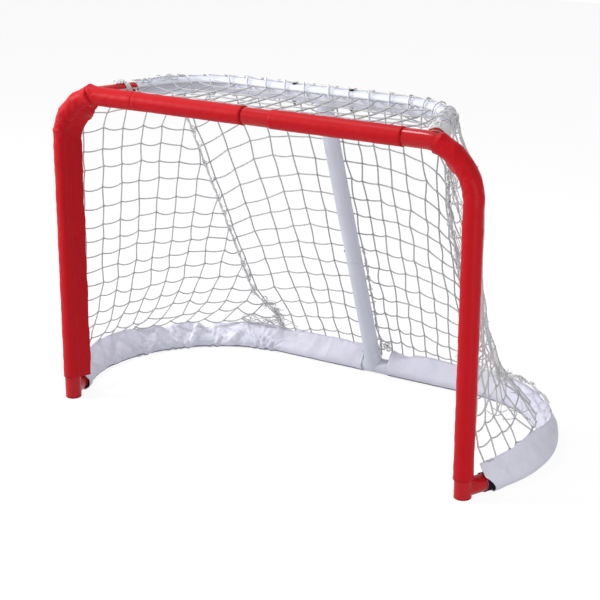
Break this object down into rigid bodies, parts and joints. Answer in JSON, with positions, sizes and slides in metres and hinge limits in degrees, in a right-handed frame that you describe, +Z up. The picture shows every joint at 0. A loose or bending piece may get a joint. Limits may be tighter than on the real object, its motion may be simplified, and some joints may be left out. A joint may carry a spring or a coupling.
{
  "type": "hockey goal net",
  "caption": "Tube-frame street hockey goal with a rounded crossbar, a top shelf, a leaning centre upright, cord nets, fabric post sleeves and a fabric skirt round the base",
  "frame": {"origin": "centre of the bounding box, on the floor", "axes": "+Z up, +X to the right along the crossbar, the mouth opens to -Y"},
  "size_m": [1.4264, 0.683, 0.8992],
  "materials": {
    "frame_red": "glossy red powder coat on steel tube",
    "tube_white": "glossy white powder coat on steel tube",
    "cap_red": "moulded plastic, matte",
    "bolt_black": "black zinc",
    "sleeve_red": "coated nylon with a satin sheen",
    "skirt_white": "coated nylon with a satin sheen",
    "cord_white": "knotted polyester cord, matte"
  },
  "bodies": {
    "root": {"left_frame_tube": "frame_red", "right_frame_tube": "frame_red", "crossbar_joiner": "tube_white", "crossbar_rivets": "bolt_black", "left_foot_cap": "cap_red", "right_foot_cap": "cap_red", "left_base_tube": "tube_white", "right_base_tube": "tube_white", "base_tee": "tube_white", "base_screws": "bolt_black", "left_shelf_tube": "tube_white", "right_shelf_tube": "tube_white", "shelf_tee": "tube_white", "shelf_bolts": "bolt_black", "shelf_nuts": "bolt_black", "shelf_screws": "bolt_black", "upright_lower": "tube_white", "upright_upper": "tube_white", "upright_screws": "bolt_black", "left_post_sleeve": "sleeve_red", "right_post_sleeve": "sleeve_red", "left_bar_sleeve": "sleeve_red", "right_bar_sleeve": "sleeve_red", "left_skirt": "skirt_white", "right_skirt": "skirt_white", "net_back": "cord_white", "net_left": "cord_white", "net_right": "cord_white", "net_top": "cord_white", "shelf_rope": "cord_white", "left_lacing": "cord_white", "right_lacing": "cord_white", "left_corner_tie": "cord_white", "right_corner_tie": "cord_white", "left_seam_cord": "cord_white", "right_seam_cord": "cord_white"}
  },
  "joints": []
}
